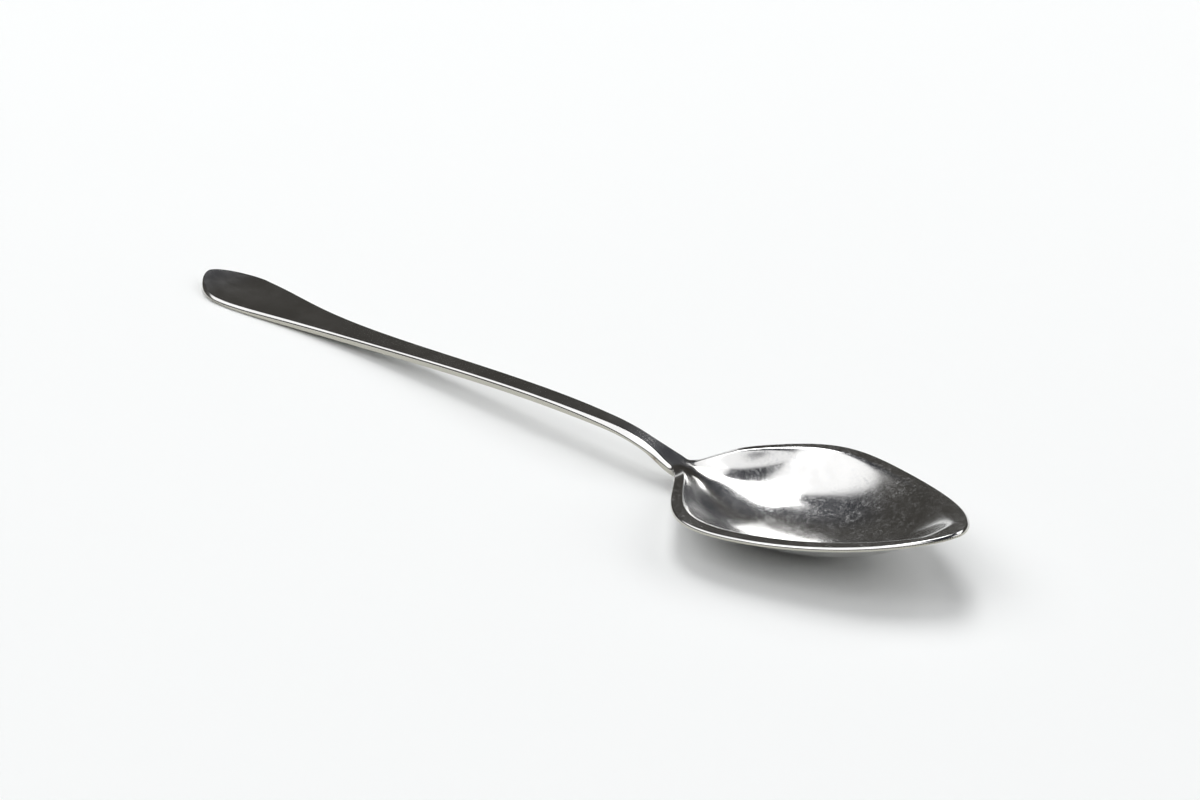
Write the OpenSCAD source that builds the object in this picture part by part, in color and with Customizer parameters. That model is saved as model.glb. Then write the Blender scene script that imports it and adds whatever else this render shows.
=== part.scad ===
// Serving spoon: a dished bowl and a long arched handle that meet at the neck.
// Lengths are millimetres. The spoon lies along X with the tip of the bowl at +X.
// It rests on z = 0 on the bottom of the bowl and on the flat underside near the handle end.

/* [Overall] */
// length from the handle end to the tip of the bowl
length = 260; // [200:1:320]

/* [Bowl] */
// length of the bowl from the neck to the tip
bowl_l = 81.2; // [65:0.2:105]
// greatest width over the rim
bowl_w = 53.3; // [40:0.1:70]
// height of the rim above the table at the shoulders
rim_h = 9.5; // [8:0.1:15]
// height of the rim above the table at the tip
tip_h = 17.4; // [13:0.1:24]
// distance from the neck to the deepest place
low_l = 28; // [20:0.1:36]
// thickness of the metal in the bowl
bowl_t = 1; // [0.8:0.1:2]
// width of the level lip along the sides
lip_w = 2.6; // [1:0.1:3.5]
// length of the level lip at the tip
tip_flat = 4; // [2:0.5:8]

/* [Neck] */
// height of the upper face at the neck
neck_h = 5.6; // [4.5:0.1:8]
// thickness of the metal at the neck
neck_t = 1.9; // [1.5:0.1:3]
// width of the neck
neck_w = 6; // [5:0.1:12]
// extra half width of the throat, where the neck has just opened into the bowl
throat_w = 1.3; // [0:0.1:2]

/* [Handle] */
// greatest width of the rounded handle end
end_w = 18.5; // [12:0.1:26]
// distance from the handle end to its widest place
end_l = 14.6; // [12:0.2:24]
// thickness of the metal at the very end
end_t = 1; // [0.8:0.1:2]
// length over which the metal thins towards the end
thin_l = 24; // [12:1:40]
// height that the very end turns up off the table
end_lift = 2.2; // [0:0.1:5]
// length of the turned-up end
lift_l = 21.6; // [14:0.2:22]
// length over which the wide end draws in to the stem
taper_l = 30.6; // [18:0.2:45]
// width that the stem tapers down to
stem_w = 5; // [4:0.1:9]
// thickness of the stem
stem_t = 1.9; // [1.5:0.1:3]
// distance from the handle end to where the arch leaves the table
end_flat = 24; // [22:0.2:32]
// height of the upper face at the top of the arch
arch_h = 9.5; // [8:0.1:18]
// distance from the neck back to the top of the arch
arch_back = 22.4; // [16:0.2:40]

/* [Edges] */
// width of the bevelled edge along the rim
rim_bevel = 0.4; // [0.2:0.05:0.7]
// width of the bevelled edge along the stem
stem_bevel = 0.6; // [0.3:0.05:1]
// width of the bevelled edge around the handle end
end_bevel = 0.8; // [0.4:0.05:1.5]
// greatest width of the bevelled edge, a little way before the neck
neck_bevel = 1.2; // [0.6:0.05:1.7]
// distance from the neck back to that widest bevel
bevel_back = 10.5; // [6:0.5:20]

/* [Curves] */
// share of the bowl's length in which the neck spreads to the shoulders
shoulder = 0.218; // [0.18:0.002:0.3]
// how pointed the tip is: a smaller number draws the outline in sooner
tip_power = 2; // [1.4:0.02:2.6]
// how pointed the handle end is: 2 is an ellipse, less is more pointed
end_point = 1.62; // [1.4:0.02:2.4]
// share of the bowl's length in which the rim climbs from the neck
rim_rise = 0.081; // [0.06:0.001:0.15]
// how tightly the side walls turn into the lip
side_turn = 25; // [12:1:32]
// how tightly the bottom turns into the lip at the tip
tip_turn = 20; // [8:1:26]

/* [Hidden] */
bowl_stations = 46;
bowl_columns = 20;
end_stations = 12;
stem_stations = 64;

// reach of the flare at the neck, and of the widest bevel towards the handle end
flare_l = 4;
bevel_l = 17;
neck_x = length - bowl_l;
arch_x = neck_x - arch_back;
// the arch bends down to the neck with this power, and arrives with this slope
arch_power = 2.2;
arch_drop = arch_h - neck_h + neck_t - stem_t;
neck_slope = arch_power * arch_drop / arch_back;
neck_edge = handle_bevel(neck_x);
neck_half = handle_half(neck_x) - neck_edge;
// the upper face stops short of both ends by the bevel and by the lean of the metal there
tip_climb = 2.75;
bowl_run = bowl_l - rim_bevel - 0.8 * bowl_t * tip_climb * (tip_h - rim_h) / bowl_l;
end_short = 0.3 * end_bevel + 1.2 * end_t * end_lift / lift_l;
low_share = low_l / bowl_run;
outline_peak = max([for (i = [0 : 200]) tip_taper(i / 200) * spread(i / 200)]);
dish_half = (bowl_w / 2 - rim_bevel) / outline_peak;

function unit(a) = a / norm(a);
function clip(u) = min(max(u, 0), 1);
function ease(u) = let (c = clip(u)) c * c * (3 - 2 * c);
function fade(u, reach) = exp(-pow(u / reach, 2));

// Handle: half width of the whole outline, thickness, height of the upper face and bevel at x.
function handle_half(x) = stem_w / 2 + (end_w - stem_w) / 2 / (1 + pow(max(0, x - end_l) / taper_l, 2))
    + (neck_w - stem_w) / 2 * fade(x - neck_x, flare_l);
function handle_t(x) = stem_t + (neck_t - stem_t) * ease((x - arch_x) / arch_back)
    - (stem_t - end_t) * fade(x, thin_l);
function handle_low(x) = end_lift * pow(clip(1 - x / lift_l), 2)
    + (arch_h - stem_t) * ease((x - end_flat) / (arch_x - end_flat))
    - arch_drop * pow(clip((x - arch_x) / arch_back), arch_power);
function handle_z(x) = handle_low(x) + handle_t(x);
// The bevel is narrow at the very end and at the neck.
function handle_bevel(x) = stem_bevel + (end_bevel - stem_bevel) * (1 - ease((x - end_l) / taper_l / 2))
    - 0.7 * end_bevel * (1 - ease(x / end_l / 0.7))
    + (neck_bevel - stem_bevel)
        * fade(x - neck_x + bevel_back, x < neck_x - bevel_back ? bevel_l : bevel_back / 1.6);
// Border of the upper face: a pointed half oval at the end (u below 0), then the taper (u from 0 to 1).
function handle_border(u) = u < 0
    ? [end_l - (end_l - end_short) * pow(sin(-90 * u), 2 / end_point),
        (end_w / 2 - end_bevel) * pow(cos(90 * u), 2 / end_point)]
    : let (x = end_l + (neck_x - end_l) * u) [x, handle_half(x) - handle_bevel(x)];

// Bowl: t runs from the neck (0) to the tip (1), v across the bowl (-1 to 1).
function spread(t) = 1 - exp(-pow(t / shoulder, 2));
function tip_taper(t) = pow(1 - pow(t, tip_power), 0.6);
function throat(t) = pow(t / rim_rise, 2) * exp(1 - pow(t / rim_rise, 2));
function bowl_half(t) = tip_taper(t) * (neck_half * (1 - spread(t)) + dish_half * spread(t))
    + throat_w * throat(t);
function rim_z(t) = neck_h + (rim_h - neck_h) * (1 - exp(-pow(t / rim_rise, 2)))
    + (tip_h - rim_h) * pow(t, tip_climb) - neck_slope * bowl_run * t * exp(-t / 0.032);
// A round bottom that climbs to a level lip: 0 at u = 0, 1 at u = 1, rising at first with the power p.
function climb(u, turn, p) = ((turn + p) * pow(u, p) - p * pow(u, turn + p)) / turn;
// Middle line of the dish: leaves with the handle's slope, eases down to the deepest place, then climbs.
// Close to the neck it follows a part of the rim's rise, so that the throat is not a sharp groove.
function keel_z(t) = let (s = clip(t / low_share),
    f = clip((t - low_share) / (1 - low_share - tip_flat / bowl_run)))
    neck_h - neck_slope * bowl_run * t * exp(-t / 0.07) * (1 - s) - (neck_h - bowl_t) * ease(s)
    + 0.45 * (rim_h - neck_h) * (1 - exp(-pow(t / rim_rise, 2))) * fade(t, 0.1)
    + (rim_z(t) - bowl_t) * climb(f, tip_turn, 2.1);
// Share of the half width that the lip leaves to the dish: the lip is wider by the neck and at the tip.
function lip_stretch(t) = 1 + lip_w * (1 + 0.4 * fade(t - 0.06, 0.1) + 1.1 * pow(t, 4)) / bowl_half(t);
function dish(t, v) = [neck_x + bowl_run * t, v * bowl_half(t),
    keel_z(t) + (rim_z(t) - keel_z(t))
        * climb(min(1, abs(v) * lip_stretch(t)), side_turn * (1 - 0.43 * fade(t, 0.24)), 2.3)];
function dish_normal(t, v) = let (e = 0.0005, a = max(t - e, 0), b = min(t + e, 0.99995),
    c = max(v - 0.01, -1), d = min(v + 0.01, 1))
    unit(cross(dish(b, v) - dish(a, v), dish(t, d) - dish(t, c)));
function dish_t(t) = bowl_t + (neck_t - bowl_t) * fade(t, 0.12);
function dish_bevel(t) = rim_bevel + (neck_edge - rim_bevel) * fade(t, 0.1);

// Edge from a top border point down to the bottom one: a bevel of width r along dir, which turns into
// an upright side, and a flatter bevel underneath.
function edge(top, bottom, dir, r) = let (t = norm(top - bottom),
    a = min(0.48, 0.72 * r / t), b = min(0.3, 0.36 * r / t))
    [for (p = [[0.9, 0.78 * a], [1, a], [1, 1 - b], [0.85, 1 - 0.7 * b]])
        top * (1 - p[1]) + bottom * p[1] + p[0] * r * dir];
// One closed ring of points: upper face, one edge, lower face, other edge.
function ring(top, bottom, out, r) = let (n = len(top) - 1,
    right = edge(top[n], bottom[n], [out[0], out[1], 0], r),
    left = edge(top[0], bottom[0], [out[0], -out[1], 0], r))
    concat(top, right, [for (j = [n : -1 : 0]) bottom[j]], [for (j = [3 : -1 : 0]) left[j]]);
// Outward direction in plan of a border that runs from a to b on the +Y side.
function outward(a, b) = unit([a[1] - b[1], b[0] - a[0]]);

function handle_ring(u) = let (p = handle_border(u), x = p[0],
    slope = (handle_low(min(x + 0.05, neck_x)) - handle_low(x - 0.05)) / (min(x + 0.05, neck_x) - x + 0.05),
    n = unit([-slope, 0, 1]), top = [for (v = [-1, 0, 1]) [x, v * p[1], handle_z(x)]],
    out = u == 1 ? [0, 1] : outward(handle_border(u - 0.001), handle_border(u + 0.001)))
    ring(top, [for (q = top) q - handle_t(x) * (u == 1 ? unit([neck_slope, 0, 1]) : n)],
        out, handle_bevel(x));
function bowl_ring(t) = let (cols = [for (j = [0 : bowl_columns]) 2 * j / bowl_columns - 1],
    top = [for (v = cols) dish(t, v)],
    low = [for (v = cols) dish(t, v) - dish_t(t) * (t == 0 ? unit([neck_slope, 0, 1]) : dish_normal(t, v))],
    a = max(t - 0.0001, 0), b = min(t + 0.0001, 0.99999),
    out = t == 0 ? [0, 1] : outward([bowl_run * a, bowl_half(a)], [bowl_run * b, bowl_half(b)]))
    ring(top, low, out, dish_bevel(t));

// Solid through a row of rings, closed at both ends.
module skin(rings) {
    n = len(rings);
    m = len(rings[0]);
    mid = [for (r = [rings[0], rings[n - 1]]) [for (q = r) 1] * r / m];
    sides = [for (i = [0 : n - 2], j = [0 : m - 1])
        let (a = i * m + j, b = i * m + (j + 1) % m)
        each [[a, b, a + m], [b, b + m, a + m]]];
    ends = [for (j = [0 : m - 1], e = [0, 1])
        let (a = e * (n - 1) * m + j, b = e * (n - 1) * m + (j + 1) % m)
        e == 0 ? [n * m, b, a] : [n * m + 1, a, b]];
    polyhedron([each [for (r = rings) each r], each mid], concat(sides, ends));
}

// which piece to show

module bowl() color([0.74, 0.74, 0.72]) translate([-length / 2, 0, 0])
    skin([for (i = [0 : bowl_stations]) bowl_ring((1 - cos(178.6 * i / bowl_stations)) / 2)]);

module handle() color([0.68, 0.68, 0.67]) translate([-length / 2, 0, 0])
    skin(concat([for (i = [0 : end_stations - 1]) handle_ring(-0.985 + 0.985 * i / end_stations)],
        [for (i = [0 : stem_stations]) handle_ring(i / stem_stations)]));

bowl();
handle();
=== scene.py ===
"""Serving spoon: a dished steel bowl and an arched, bevelled handle, lying on a pale table."""

import math

import bpy
import numpy as np
from mathutils import Matrix, Vector


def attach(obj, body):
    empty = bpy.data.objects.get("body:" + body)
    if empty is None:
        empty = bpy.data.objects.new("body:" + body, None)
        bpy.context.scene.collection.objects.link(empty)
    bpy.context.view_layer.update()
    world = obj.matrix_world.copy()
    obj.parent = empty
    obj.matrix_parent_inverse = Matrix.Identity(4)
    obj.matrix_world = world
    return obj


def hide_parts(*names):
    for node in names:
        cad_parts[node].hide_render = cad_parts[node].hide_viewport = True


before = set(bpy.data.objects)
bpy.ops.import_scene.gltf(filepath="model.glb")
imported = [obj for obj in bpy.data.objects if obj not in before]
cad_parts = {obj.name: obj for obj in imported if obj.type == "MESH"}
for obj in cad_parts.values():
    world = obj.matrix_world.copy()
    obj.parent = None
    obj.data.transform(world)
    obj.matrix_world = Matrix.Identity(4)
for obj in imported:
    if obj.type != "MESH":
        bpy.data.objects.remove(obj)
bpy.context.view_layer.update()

# Sizes in millimetres, the same as the solid model's.
LENGTH = 260.0
BOWL_L, BOWL_W, RIM_H, TIP_H = 81.2, 53.3, 9.5, 17.4
LOW_L, BOWL_T, LIP_W, TIP_FLAT = 28.0, 1.0, 2.6, 4.0
NECK_H, NECK_T, NECK_W, THROAT_W = 5.6, 1.9, 6.0, 1.3
END_W, END_L, END_T, THIN_L, END_LIFT, LIFT_L = 18.5, 14.6, 1.0, 24.0, 2.2, 21.6
TAPER_L, STEM_W, STEM_T, END_FLAT, ARCH_H, ARCH_BACK = 30.6, 5.0, 1.9, 24.0, 9.5, 22.4
RIM_BEVEL, STEM_BEVEL, END_BEVEL, NECK_BEVEL, BEVEL_BACK = 0.4, 0.6, 0.8, 1.2, 10.5
# Reach of the neck's flare, and of the widest bevel towards the handle end and the neck.
FLARE_L, BEVEL_L, BEVEL_FALL = 4.0, 17.0, BEVEL_BACK / 1.6
# Shares of the bowl's length, and powers of the curves, also the solid model's.
SHOULDER, RIM_RISE = 0.218, 0.081
TIP_POWER, TIP_ROUND, TIP_CLIMB, ARCH_POWER, END_POINT = 2.0, 0.6, 2.75, 2.2, 1.62
SIDE_TURN, TIP_TURN = 25.0, 20.0

NECK_X = LENGTH - BOWL_L
ARCH_X = NECK_X - ARCH_BACK
ARCH_DROP = ARCH_H - NECK_H + NECK_T - STEM_T
NECK_SLOPE = ARCH_POWER * ARCH_DROP / ARCH_BACK
# The upper face stops short of both ends by the bevel and by the lean of the metal there.
BOWL_RUN = BOWL_L - RIM_BEVEL - 0.8 * BOWL_T * TIP_CLIMB * (TIP_H - RIM_H) / BOWL_L
END_SHORT = 0.3 * END_BEVEL + 1.2 * END_T * END_LIFT / LIFT_L
LOW_SHARE = LOW_L / BOWL_RUN

# Share of the end's bevel that is lost at the very end, and share of END_L in which it is.
POINT_LOSS, POINT_RUN = 0.7, 0.7
# Shares of the bowl's length in which the rim and the middle line leave the handle's slope,
# and in which the bevel and the thickness of the neck run out.
RIM_LEAVE, KEEL_LEAVE, BEVEL_OUT, THICK_OUT = 0.032, 0.07, 0.1, 0.12
# Powers with which the side walls, and the bottom towards the tip, begin to rise.
SIDE_POWER, BOTTOM_POWER = 2.3, 2.1

# Changes along the bowl as (share, middle, reach): the lip is broader at the shoulders, and the
# turn into it is rounder in the throat. At the tip the lip is broader by the share LIP_TIP.
LIP_SHOULDERS, TURN_THROAT, LIP_TIP = (0.4, 0.06, 0.1), (0.43, 0.0, 0.24), 1.1

# By the neck the metal is drawn rounder than the solids, by less than half a millimetre. The
# middle line follows a larger share of the rim's rise in the throat, and this far.
THROAT_SHARE, THROAT_REACH = 0.72, 0.1
# The lip is narrower and the turn into it rounder at the neck, as (share, middle, reach).
LIP_NECK, TURN_NECK = (0.8, 0.0, 0.07), (0.42, 0.0, 0.09)
# The bend has a rise and a dip as (height, distance past the neck, reach), in millimetres.
BEND_RISE, BEND_DIP = (0.28, 0.9, 2.2), (0.25, 7.0, 2.6)

# Drop of the bevel and rise of the one underneath, as shares of the thickness and its width.
BEVEL_DROP, UNDER_RISE = (0.48, 0.72), (0.3, 0.36)
# Roundings of an edge's corners: the crease of the bevel, its foot, and the one underneath.
CREASE, FOOT, UNDER = 0.08, 0.32, 0.14
# A rounding takes at most this share of the side between two corners.
SIDE_SHARE = 0.48
# The bevel is drawn this much narrower, so that its foot stays inside the solid.
SLIM = 0.97
# Points on each rounded corner, and the numbers of stations along and columns across.
CORNER_STEPS = 7
BOWL_STATIONS, BOWL_COLUMNS = 231, 121
END_STATIONS, STEM_STATIONS, HANDLE_COLUMNS = 90, 281, 41


def ease(u):
    """Smooth step: 0 below 0, 1 above 1, and 3u^2 - 2u^3 between."""
    c = np.clip(u, 0, 1)
    return c * c * (3 - 2 * c)


def fade(u, reach):
    """Bell curve that is 1 at u = 0 and falls off over reach."""
    return np.exp(-((u / reach) ** 2))


def hump(u, height, middle, reach):
    """Bell curve of a height round a middle."""
    return height * fade(u - middle, reach)


def valley(x):
    """Small rise, and a smaller dip beyond it, that round the bend between handle and bowl."""
    return hump(x - NECK_X, *BEND_RISE) - hump(x - NECK_X, *BEND_DIP)


def handle_half(x):
    """Half width of the handle: the stem, the wide end that draws in to it, the neck flare."""
    end = (END_W - STEM_W) / 2 / (1 + (np.maximum(0, x - END_L) / TAPER_L) ** 2)
    return STEM_W / 2 + end + (NECK_W - STEM_W) / 2 * fade(x - NECK_X, FLARE_L)


def handle_low(x):
    """Height of the underside: turned up at the very end, flat, then the arch to the neck."""
    rise = (ARCH_H - STEM_T) * ease((x - END_FLAT) / (ARCH_X - END_FLAT))
    drop = ARCH_DROP * np.clip((x - ARCH_X) / ARCH_BACK, 0, 1) ** ARCH_POWER
    return END_LIFT * np.clip(1 - x / LIFT_L, 0, 1) ** 2 + rise - drop + valley(x)


def handle_t(x):
    """Thickness of the handle, thinner towards the end."""
    to_neck = (NECK_T - STEM_T) * ease((x - ARCH_X) / ARCH_BACK)
    return STEM_T + to_neck - (STEM_T - END_T) * fade(x, THIN_L)


def handle_z(x, y):
    """Height of the upper face, the same all the way across."""
    return handle_low(x) + handle_t(x)


def handle_bevel(x):
    """Width of the bevel: narrow at the very end and the neck, broadest just before the neck."""
    end = (END_BEVEL - STEM_BEVEL) * (1 - ease((x - END_L) / TAPER_L / 2))
    end = end - POINT_LOSS * END_BEVEL * (1 - ease(x / END_L / POINT_RUN))
    reach = np.where(x < NECK_X - BEVEL_BACK, BEVEL_L, BEVEL_FALL)
    broad = (NECK_BEVEL - STEM_BEVEL) * fade(x - NECK_X + BEVEL_BACK, reach)
    return STEM_BEVEL + end + broad


def spread(t):
    """How far the neck has opened to the shoulders. t runs from 0 at the neck to 1 at the tip."""
    return 1 - np.exp(-((t / SHOULDER) ** 2))


def tip_taper(t):
    """How the outline closes towards the tip."""
    return np.maximum(0, 1 - t**TIP_POWER) ** TIP_ROUND


NECK_EDGE = float(handle_bevel(NECK_X))
NECK_HALF = float(handle_half(NECK_X)) - NECK_EDGE
SHARES = np.linspace(0, 1, 201)
DISH_HALF = (BOWL_W / 2 - RIM_BEVEL) / float((tip_taper(SHARES) * spread(SHARES)).max())


def bowl_half(t):
    """Half width of the bowl's upper face: from the neck's to the dish's, closed at the tip.

    A small swelling just past the neck makes the throat.
    """
    throat = (t / RIM_RISE) ** 2 * np.exp(1 - (t / RIM_RISE) ** 2)
    body = NECK_HALF * (1 - spread(t)) + DISH_HALF * spread(t)
    return tip_taper(t) * body + THROAT_W * throat


def rim_z(t):
    """Height of the rim: leaves with the handle's slope, climbs to the shoulders and the tip."""
    shoulders = (RIM_H - NECK_H) * (1 - np.exp(-((t / RIM_RISE) ** 2)))
    leave = NECK_SLOPE * BOWL_RUN * t * np.exp(-t / RIM_LEAVE)
    return NECK_H + shoulders + (TIP_H - RIM_H) * t**TIP_CLIMB - leave


def climb(u, turn, p):
    """Bottom that climbs to a level lip: rises with power p, level again at u = 1."""
    return ((turn + p) * u**p - p * u ** (turn + p)) / turn


def keel_z(t):
    """Height along the middle of the dish: leaves with the handle's slope, eases down, climbs.

    Close to the neck it follows a part of the rim's rise.
    """
    s = np.clip(t / LOW_SHARE, 0, 1)
    f = np.clip((t - LOW_SHARE) / (1 - LOW_SHARE - TIP_FLAT / BOWL_RUN), 0, 1)
    leave = NECK_SLOPE * BOWL_RUN * t * np.exp(-t / KEEL_LEAVE) * (1 - s)
    heel = leave + (NECK_H - BOWL_T) * ease(s)
    rise = (RIM_H - NECK_H) * (1 - np.exp(-((t / RIM_RISE) ** 2)))
    throat = THROAT_SHARE * rise * fade(t, THROAT_REACH)
    return NECK_H - heel + throat + (rim_z(t) - BOWL_T) * climb(f, TIP_TURN, BOTTOM_POWER)


def dish_z(x, y):
    """Height of the dish over a plan point: from keel to rim by the share of the half width."""
    t = np.clip((x - NECK_X) / BOWL_RUN, 0, 1.01)
    half = np.maximum(bowl_half(t), 1e-6)
    wide = 1 + hump(t, *LIP_SHOULDERS) + LIP_TIP * t**4
    lip = LIP_W * wide * (1 - hump(t, *LIP_NECK))
    share = np.minimum(1, np.abs(y) / half * (1 + lip / half))
    turn = SIDE_TURN * (1 - hump(t, *TURN_THROAT) - hump(t, *TURN_NECK))
    keel = keel_z(t)
    return valley(x) + keel + (rim_z(t) - keel) * climb(share, turn, SIDE_POWER)


def edge_path(bevel, thick):
    """Edge section as (out, down) from the inset top border to the bottom one, per station.

    Corners: crease, foot of the bevel, foot of the upright side, bottom border. Each is rounded
    by a quadratic curve from a point before the corner to one after it.
    """
    a = np.minimum(BEVEL_DROP[0] * thick, BEVEL_DROP[1] * bevel)
    b = np.minimum(UNDER_RISE[0] * thick, UNDER_RISE[1] * bevel)
    zero, c = np.zeros_like(bevel), np.full_like(bevel, CREASE)
    out = np.stack([zero, c, c + bevel, c + bevel, c, zero], 1)
    down = np.stack([zero, zero, a, thick - b, thick, thick], 1)
    path = np.stack([out, down], 2)
    w = np.linspace(0, 1, CORNER_STEPS)[None, :, None]
    parts = []
    for k, reach in ((1, CREASE), (2, FOOT), (3, UNDER), (4, CREASE)):
        q = path[:, k : k + 1]
        back, on = path[:, k - 1 : k] - q, path[:, k + 1 : k + 2] - q
        lb = np.linalg.norm(back, axis=2, keepdims=True)
        lo = np.linalg.norm(on, axis=2, keepdims=True)
        s = q + back / lb * np.minimum(reach, (1.0 if k == 1 else SIDE_SHARE) * lb)
        e = q + on / lo * np.minimum(reach, (1.0 if k == 4 else SIDE_SHARE) * lo)
        parts.append((1 - w) ** 2 * s + 2 * w * (1 - w) * q + w**2 * e)
    path = np.concatenate(parts, 1)
    return path[:, :, 0], path[:, :, 1]


def rings(bx, by, bevel, thick, top_z, normal, columns, joint):
    """Closed rings round the metal at every station of a border (bx, by).

    The upper face runs across between the two inset borders at the height top_z(x, y), the lower
    face is the thickness away along the normal, and edge_path joins them on either side. joint
    is the station at the neck, whose outward direction is straight across. Returns points and
    grain values (length along the border, depth down the edge, and 0.5 on the bevel or 1 on the
    side and underneath), each as stations x points x 3.
    """
    tx, ty = np.gradient(bx), np.gradient(by)
    run = np.maximum(np.hypot(tx, ty), 1e-9)
    ox, oy = -ty / run, tx / run
    ox[joint], oy[joint] = 0.0, 1.0
    end = -1 if joint == 0 else 0
    ox[end], oy[end] = (1.0 if joint == 0 else -1.0), 0.0
    ix, iy = bx - CREASE * ox, np.maximum(by - CREASE * oy, 0)
    iy[end] = 0.0
    x = np.repeat(ix[:, None], columns, 1)
    y = iy[:, None] * np.linspace(-1, 1, columns)
    top = np.stack([x, y, top_z(x, y)], 2)
    n = normal(x, y)
    low = top - thick[:, None, None] * n

    # the first and last point of the edge are the borders themselves
    out, down = (part[:, 1:-1] for part in edge_path(SLIM * bevel, thick))
    flat = np.zeros_like(ox)
    to_right = np.stack([ox, oy, flat], 1)[:, None]
    to_left = np.stack([ox, -oy, flat], 1)[:, None]
    right = top[:, -1:] - down[:, :, None] * n[:, -1:] + out[:, :, None] * to_right
    left = top[:, :1] - down[:, :, None] * n[:, :1] + out[:, :, None] * to_left
    right[end, :, 1] = left[end, :, 1] = 0.0
    points = np.concatenate([top, right, low[:, ::-1], left[:, ::-1]], 1)

    along = np.cumsum(run)[:, None]
    one = np.ones((1, columns))
    depth = np.concatenate([0 * one * along, down, one * thick[:, None], down[:, ::-1]], 1)
    stops = [k * CORNER_STEPS + e for k in range(4) for e in (0, CORNER_STEPS - 1)]
    turn = np.interp(np.arange(1, stops[-1]), stops, [0, 0.5, 0.5, 1, 1, 1, 1, 0])
    rim = np.concatenate([0 * one[0], turn, 0 * one[0], turn[::-1]])
    grain = np.stack(np.broadcast_arrays(along, depth, rim[None]), 2)
    return points, grain


def skin(name, points, grain, joint):
    """Mesh through a row of rings: quads between rings, a flat fan at the neck's station joint.

    The faces are built as whole index arrays. Points of the far end that coincide are merged,
    which closes it, and the quads that lose a corner become triangles.
    """
    n, m = points.shape[:2]
    xyz = (points.reshape(-1, 3) - [LENGTH / 2, 0, 0]) / 1000
    # nothing sinks into the table
    xyz[:, 2] = np.maximum(xyz[:, 2], 0)
    ring = joint * m + np.arange(m)
    xyz = np.vstack([xyz, xyz[ring].mean(0)])
    values = np.vstack([grain.reshape(-1, 3), [0, 0, 0]])
    i, j = np.meshgrid(np.arange(n - 1), np.arange(m), indexing="ij")
    a, b = (i * m + j).ravel(), (i * m + (j + 1) % m).ravel()
    quads = np.stack([a, b, b + m, a + m], 1)
    fan = np.stack([ring, np.roll(ring, -1), np.full(m, n * m)], 1)
    if joint == 0:
        fan = fan[:, [1, 0, 2]]

    # points that agree to the hundredth of a micrometre are one
    rounded = np.round(xyz, 8)
    _, first, back = np.unique(rounded, axis=0, return_index=True, return_inverse=True)
    back = back.ravel()
    quads, fan = back[quads], back[fan]
    same = quads == np.roll(quads, -1, 1)
    whole = quads[~same.any(1)]
    torn = quads[same.sum(1) == 1]
    drop = (torn == np.roll(torn, -1, 1)).argmax(1)
    cols = np.array([[1, 2, 3], [0, 2, 3], [0, 1, 3], [0, 1, 2]])[drop]
    tris = np.vstack([np.take_along_axis(torn, cols, 1), fan])
    xyz, values = xyz[first], values[first]
    corners = xyz[whole]
    volume = (np.cross(corners[:, 0], corners[:, 1]) * corners[:, 2]).sum()
    volume += (np.cross(corners[:, 0], corners[:, 2]) * corners[:, 3]).sum()
    if volume < 0:
        whole, tris = whole[:, ::-1], tris[:, ::-1]

    mesh = bpy.data.meshes.new(name)
    mesh.from_pydata(xyz, [], whole.tolist() + tris.tolist())
    mesh.polygons.foreach_set("use_smooth", np.ones(len(mesh.polygons), bool))
    lines = np.empty(len(mesh.edges) * 2, np.int32)
    mesh.edges.foreach_get("vertices", lines)
    on_joint = np.zeros(len(xyz), bool)
    on_joint[back[ring]] = True
    sharp = mesh.attributes.new("sharp_edge", "BOOLEAN", "EDGE")
    sharp.data.foreach_set("value", on_joint[lines.reshape(-1, 2)].all(1))
    held = mesh.attributes.new("grain", "FLOAT_VECTOR", "POINT")
    held.data.foreach_set("vector", values.astype(np.float32).ravel())
    mesh.validate()
    piece = bpy.data.objects.new(name, mesh)
    bpy.context.scene.collection.objects.link(piece)
    return piece


def unit_normal(zx, zy):
    """Unit normals of a surface from its slopes along x and y."""
    n = np.stack([-zx, -zy, np.ones_like(zx)], 2)
    return n / np.linalg.norm(n, axis=2, keepdims=True)


def bowl_normal(x, y):
    """Normal of the dish from the slopes of dish_z, square to the handle's cut at the neck."""
    e = 0.004
    behind = np.maximum(x - e, NECK_X)
    zx = (dish_z(x + e, y) - dish_z(behind, y)) / (x + e - behind)
    zy = (dish_z(x, y + e) - dish_z(x, y - e)) / (2 * e)
    zx[0], zy[0] = -NECK_SLOPE, 0.0
    return unit_normal(zx, zy)


def handle_normal(x, y):
    """Normal of the underside's line, the same all the way across."""
    e = 0.02
    ahead = np.minimum(x + e, NECK_X)
    slope = (handle_low(ahead) - handle_low(x - e)) / (ahead - x + e)
    slope[-1] = -NECK_SLOPE
    return unit_normal(slope, 0 * slope)


def make_bowl():
    """Bowl: stations crowd towards the neck and the tip, t = (1 - cos) / 2."""
    t = (1 - np.cos(np.linspace(0, math.pi, BOWL_STATIONS))) / 2
    t[-1] = 1.0
    bevel = RIM_BEVEL + (NECK_EDGE - RIM_BEVEL) * fade(t, BEVEL_OUT)
    thick = BOWL_T + (NECK_T - BOWL_T) * fade(t, THICK_OUT)
    bx, by = NECK_X + BOWL_RUN * t, bowl_half(t)
    points, grain = rings(bx, by, bevel, thick, dish_z, bowl_normal, BOWL_COLUMNS, 0)
    return skin("bowl_dish", points, grain, 0)


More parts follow.
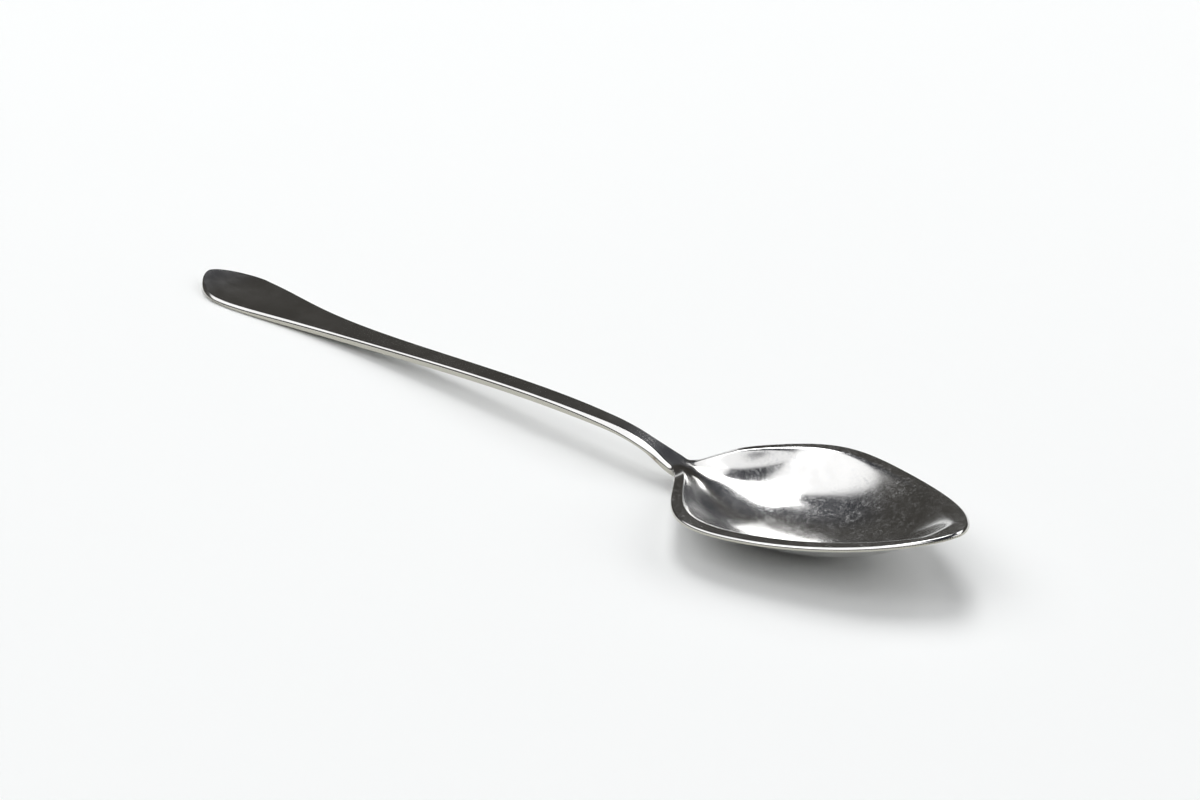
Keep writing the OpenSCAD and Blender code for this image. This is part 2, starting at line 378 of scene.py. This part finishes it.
def make_handle():
    """Handle: a pointed half oval at the end, then the taper to the neck."""
    a = np.linspace(math.pi / 2, 0, END_STATIONS + 1)[:-1]
    ox = END_L - (END_L - END_SHORT) * np.sin(a) ** (2 / END_POINT)
    oy = (END_W / 2 - END_BEVEL) * np.cos(a) ** (2 / END_POINT)
    x = END_L + (NECK_X - END_L) * np.linspace(0, 1, STEM_STATIONS)
    bx = np.concatenate([ox, x])
    by = np.concatenate([oy, handle_half(x) - handle_bevel(x)])
    by[0] = 0.0
    bevel, thick, joint = handle_bevel(bx), handle_t(bx), len(bx) - 1
    points, grain = rings(bx, by, bevel, thick, handle_z, handle_normal, HANDLE_COLUMNS, joint)
    return skin("handle_arm", points, grain, joint)


class Wire:
    """A socket's value in a material. Arithmetic on it adds Math nodes."""

    def __init__(self, tree, socket):
        self.tree, self.socket = tree, socket

    def math(self, operation, *values):
        """Adds a Math node with these inputs."""
        node = self.tree.nodes.new("ShaderNodeMath")
        node.operation = operation
        for k, value in enumerate(values):
            if isinstance(value, Wire):
                self.tree.links.new(value.socket, node.inputs[k])
            else:
                node.inputs[k].default_value = value
        return Wire(self.tree, node.outputs[0])

    def __add__(self, other):
        return self.math("ADD", self, other)

    def __radd__(self, other):
        return self.math("ADD", other, self)

    def __sub__(self, other):
        return self.math("SUBTRACT", self, other)

    def __rsub__(self, other):
        return self.math("SUBTRACT", other, self)

    def __mul__(self, other):
        return self.math("MULTIPLY", self, other)

    def __rmul__(self, other):
        return self.math("MULTIPLY", other, self)

    def __truediv__(self, other):
        return self.math("DIVIDE", self, other)

    def __rtruediv__(self, other):
        return self.math("DIVIDE", other, self)

    def __pow__(self, other):
        return self.math("POWER", self, other)

    def bell(self, middle, reach):
        """1 where the value is at middle, falling off over reach."""
        away = (self - middle) / reach
        return self.math("EXPONENT", 0 - away * away)

    def step(self, low, high):
        """Smooth 0 to 1 between low and high."""
        capped = self.math("MINIMUM", (self - low) / (high - low), 1.0)
        share = self.math("MAXIMUM", capped, 0.0)
        return share * share * (3 - 2 * share)


class Finish:
    """A material or world and its nodes."""

    def __init__(self, owner):
        owner.use_nodes = True
        self.owner, self.tree = owner, owner.node_tree
        self.tree.nodes.clear()

    def node(self, kind, settings=None, sockets=None, out=0):
        """Adds a node: settings first, then the values or links of sockets. Gives one output."""
        node = self.tree.nodes.new(kind)
        for key, value in (settings or {}).items():
            setattr(node, key, value)
        for key, value in (sockets or {}).items():
            if isinstance(value, Wire):
                self.tree.links.new(value.socket, node.inputs[key])
            else:
                node.inputs[key].default_value = value
        return Wire(self.tree, node.outputs[out]) if len(node.outputs) else None

    def noise(self, where, scale, detail=3.0, rough=0.55, warp=0.0):
        """Cloudy value round 0.5."""
        sockets = {"Vector": where, "Scale": scale, "Detail": detail}
        sockets.update({"Roughness": rough, "Distortion": warp})
        return self.node("ShaderNodeTexNoise", {}, sockets)

    def turned(self, where, angle, stretch):
        """The coordinates turned about Z by an angle and stretched."""
        sockets = {"Vector": where, "Rotation": (0, 0, angle), "Scale": stretch}
        return self.node("ShaderNodeMapping", {"vector_type": "POINT"}, sockets)

    def mix(self, share, first, second):
        """Colour between two colours."""
        sockets = {0: share, 6: first, 7: second}
        return self.node("ShaderNodeMix", {"data_type": "RGBA"}, sockets, 2)

    def bump(self, height, depth, below=None):
        """Normal disturbed by a height; depth is what a height of 1 stands for, in metres."""
        sockets = {"Strength": 1.0, "Distance": depth, "Height": height}
        if below is not None:
            sockets["Normal"] = below
        return self.node("ShaderNodeBump", {}, sockets)

    def shade(self, sockets):
        """Ends the material in one shader."""
        shader = self.node("ShaderNodeBsdfPrincipled", {}, sockets)
        self.node("ShaderNodeOutputMaterial", {}, {"Surface": shader})
        return self.owner


# Places in metres: the dried drop (x, y), the brown mark (x) and the painted shade in the throat
# (x).
STAIN, BLOT, THROAT_X = (0.0923, 0.0104), 0.0445, 0.0535
# Their sizes in metres: radius and width of the drop's ring, reach of the mark and of the painted
# throat shade.
STAIN_R, STAIN_W, BLOT_L, THROAT_SHADE_L = 0.0014, 0.0005, 0.0012, 0.0055
# Clouds to the metre: smudges, mottling, specks, scratched patches, wavering of the grinding.
SMUDGES, MOTTLES, SPECKS, PATCHES, WAVERS = 85, 420, 1750, 60, 160
# Tones of the steel, from clean to the brown mark, and the dark tone that paints shade into the
# throat.
CLEAN, SMUDGED = (0.67, 0.665, 0.655, 1), (0.74, 0.735, 0.725, 1)
SCRAPED, THROAT_SHADE_TONE = (0.8, 0.805, 0.82, 1), (0.24, 0.225, 0.2, 1)
DRIED, GROUND, BROWN = (0.82, 0.82, 0.84, 1), (0.45, 0.435, 0.365, 1), (0.16, 0.11, 0.07, 1)
# Directions of the hair scratches in radians, and how fine they are.
SCRATCHES = ((0.35, 900.0), (-0.6, 1150.0), (1.5, 800.0), (2.4, 1000.0))
# Heights in metres of the smudges, the scratches with the specks, and the grinding marks.
SMUDGE_RISE, SCRATCH_RISE, MARK_RISE = 0.00002, 0.000003, 0.000008
# Spacing of the grinding marks in millimetres.
MARK_PITCH = 0.55


def worn_steel():
    """Polished steel dulled by use: smudges, worn specks, hair scratches and ground edges, with
    painted shade in the throat.
    """
    f = Finish(bpy.data.materials.new("worn_steel"))
    where = f.node("ShaderNodeTexCoord", {}, {}, 3)
    held = f.node("ShaderNodeAttribute", {"attribute_name": "grain"}, {}, 1)
    along, depth, edge = (f.node("ShaderNodeSeparateXYZ", {}, {0: held}, k) for k in range(3))
    px, py = (f.node("ShaderNodeSeparateXYZ", {}, {0: where}, k) for k in range(2))
    face = 1 - edge.step(0.05, 0.3)
    side = edge.step(0.7, 0.95)

    smudge = f.noise(where, SMUDGES, 4.0, 0.6, 0.6)
    mottle = f.noise(where, MOTTLES, 4.0, 0.65)
    specks = f.noise(where, SPECKS, 3.0, 0.65)
    # the dish is scraped more than the handle
    used = 0.2 + 0.8 * px.step(0.045, 0.07)
    hair = None
    for angle, scale in SCRATCHES:
        streak = f.noise(f.turned(where, angle, (14.0, scale, 40.0)), 1.0, 2.0, 0.5)
        line = streak.bell(0.5, 0.012)
        hair = line if hair is None else hair.math("MAXIMUM", hair, line)
    hair = hair * f.noise(where, PATCHES, 2.0).step(0.42, 0.66) * face
    dull = specks.step(0.46, 0.6) * (0.35 + 0.65 * mottle.step(0.4, 0.62)) * face * used

    # grinding marks run slantwise across the upright side of the edge
    slant = along + depth * 0.75 + f.noise(where, WAVERS, 2.0) * 0.5
    marks = slant.math("SINE", slant * (2 * math.pi / MARK_PITCH))

    # a dried drop in the bowl and a small brown mark under the bevel by the neck
    stain = ((px - STAIN[0]) ** 2.0 + (py - STAIN[1]) ** 2.0) ** 0.5
    ring = stain.bell(STAIN_R, STAIN_W) * mottle.step(0.3, 0.6)
    blot = px.bell(BLOT, BLOT_L) * side * py.step(-0.0005, -0.0015) * specks.step(0.35, 0.6)
    # painted shade: the near side of the throat, where the bowl meets the handle, is darkened
    painted_throat_shade = px.bell(THROAT_X, THROAT_SHADE_L) * py.step(0.004, -0.001) * face
    painted_throat_shade = painted_throat_shade * (0.75 + 0.25 * mottle.step(0.35, 0.65))

    tone = f.mix(smudge.step(0.3, 0.7), CLEAN, SMUDGED)
    tone = f.mix(dull * 0.4, tone, SCRAPED)
    # painted shade: the throat's near side is darkened towards the dark shade tone
    tone = f.mix(painted_throat_shade * 0.75, tone, THROAT_SHADE_TONE)
    tone = f.mix(ring * 0.2, tone, DRIED)
    tone = f.mix(side * (0.82 + 0.12 * marks), tone, GROUND)
    tone = f.mix(blot * 0.8, tone, BROWN)
    rough = 0.13 + 0.05 * smudge.step(0.35, 0.7) + 0.09 * dull + 0.04 * hair + 0.08 * ring
    rough = rough * (1 - 0.3 * edge) + side * (0.14 + 0.05 * marks)

    normal = f.bump(smudge, SMUDGE_RISE)
    normal = f.bump(hair * 0.3 + specks * 0.6 * face * used, SCRATCH_RISE, normal)
    normal = f.bump(marks * side, MARK_RISE, normal)
    # dried drops and worn specks are a little chalky
    bare = 1 - 0.06 * ring - 0.055 * dull
    return f.shade({"Base Color": tone, "Metallic": bare, "Roughness": rough, "Normal": normal})


def pale_table():
    """Matt white table top with a barely visible unevenness."""
    f = Finish(bpy.data.materials.new("pale_table"))
    where = f.node("ShaderNodeTexCoord", {}, {}, 3)
    cloud = f.noise(where, 3.0, 2.0)
    tone = f.mix(cloud, (0.915, 0.925, 0.92, 1), (0.935, 0.945, 0.94, 1))
    return f.shade({"Base Color": tone, "Roughness": 0.9, "Specular IOR Level": 0.1})


def dim_room():
    """World: a dark room, a little warm low down, bluish higher up, pale at the horizon."""
    f = Finish(bpy.data.worlds.new("dim_room"))
    way = f.node("ShaderNodeTexCoord", {}, {}, 0)
    up = f.node("ShaderNodeSeparateXYZ", {}, {0: way}, 2)
    tone = f.mix(up.step(0.42, 0.7), (0.056, 0.053, 0.048, 1), (0.04, 0.043, 0.053, 1))
    tone = f.mix(1 - up.step(0.01, 0.06), tone, (0.6, 0.61, 0.61, 1))
    light = f.node("ShaderNodeBackground", {}, {"Color": tone, "Strength": 1.0})
    f.node("ShaderNodeOutputWorld", {}, {"Surface": light})
    return f.owner


def make_table():
    """Table top: a flat disc on a polar grid, a fan in the middle and quads between circles."""
    circles, spokes, inner, outer = 40, 96, 0.05, 3.2
    r = np.geomspace(inner, outer, circles)[:, None]
    a = np.linspace(0, 2 * math.pi, spokes + 1)[None, :-1]
    disc = np.stack(np.broadcast_arrays(r * np.cos(a), r * np.sin(a), 0 * r * a), 2)
    xyz = np.vstack([[[0.0, 0.0, 0.0]], disc.reshape(-1, 3)])
    i, j = np.meshgrid(np.arange(circles - 1), np.arange(spokes), indexing="ij")
    p, q = 1 + i * spokes + j, 1 + i * spokes + (j + 1) % spokes
    quads = np.stack([p, p + spokes, q + spokes, q], 2).reshape(-1, 4)
    fan = np.stack([0 * p[0], p[0], q[0]], 1)
    mesh = bpy.data.meshes.new("table_top")
    mesh.from_pydata(xyz, [], quads.tolist() + fan.tolist())
    table = bpy.data.objects.new("table_top", mesh)
    bpy.context.scene.collection.objects.link(table)
    table.data.materials.append(pale_table())
    return table


def turn_to(item, across, out):
    """Turns an object so that its X runs along across and its Z along out."""
    item.rotation_mode = "QUATERNION"
    axes = Matrix((across, out.cross(across), out)).transposed()
    item.rotation_quaternion = axes.to_quaternion()


# Camera: 24 degrees down, from the near right of the bowl, rolled by half a degree.
VIEW = Vector((-0.660045, 0.627988, -0.412276)).normalized()
ACROSS = Vector((0.692831, 0.721018, -0.010884)).normalized()
camera = bpy.data.objects.new("camera", bpy.data.cameras.new("camera"))
bpy.context.scene.collection.objects.link(camera)
camera.data.lens, camera.data.sensor_width = 78.0, 36.0
camera.data.clip_start, camera.data.clip_end = 0.01, 50.0
camera.location = (0.420495, -0.3776, 0.260967)
turn_to(camera, ACROSS, -VIEW)
bpy.context.scene.camera = camera

UP = Vector((0, 0, 1))
AWAY = Vector((VIEW.x, VIEW.y, 0)).normalized()
RIGHT = Vector((AWAY.y, -AWAY.x, 0))


def softbox(name, way, width, height, level, flat=False):
    """Area lamp at the point way, given as (right, away, up) of the camera in metres.

    It faces the spoon, or straight down if flat. Level is its face's brightness; 1 is white.
    """
    lamp = bpy.data.lights.new(name, "AREA")
    lamp.shape, lamp.size, lamp.size_y = "RECTANGLE", width, height
    lamp.energy = level * math.pi * width * height
    box = bpy.data.objects.new(name, lamp)
    bpy.context.scene.collection.objects.link(box)
    box.location = way[0] * RIGHT + way[1] * AWAY + way[2] * UP
    out = UP if flat else box.location.normalized()
    turn_to(box, RIGHT if flat else UP.cross(out).normalized(), out)


softbox("overhead_softbox", (0.02, 1.25, 2.6), 1.0, 2.2, 5.3, True)
softbox("left_softbox", (-1.396, 0.254, 2.643), 3.1, 3.1, 1.35)
softbox("back_softbox", (-1.078, -1.602, 2.296), 3.1, 1.8, 1.2)
softbox("right_softbox", (1.9, 1.2, 2.2), 1.6, 1.6, 2.2)
softbox("low_softbox", (2.3, -0.6, 1.2), 2.0, 1.4, 1.4)

bpy.context.scene.world = dim_room()
bpy.context.scene.view_settings.view_transform = "Standard"

steel = worn_steel()
for piece, node in ((make_bowl(), "bowl"), (make_handle(), "handle")):
    piece.data.materials.append(steel)
    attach(piece, "root")
    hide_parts(node)
make_table()
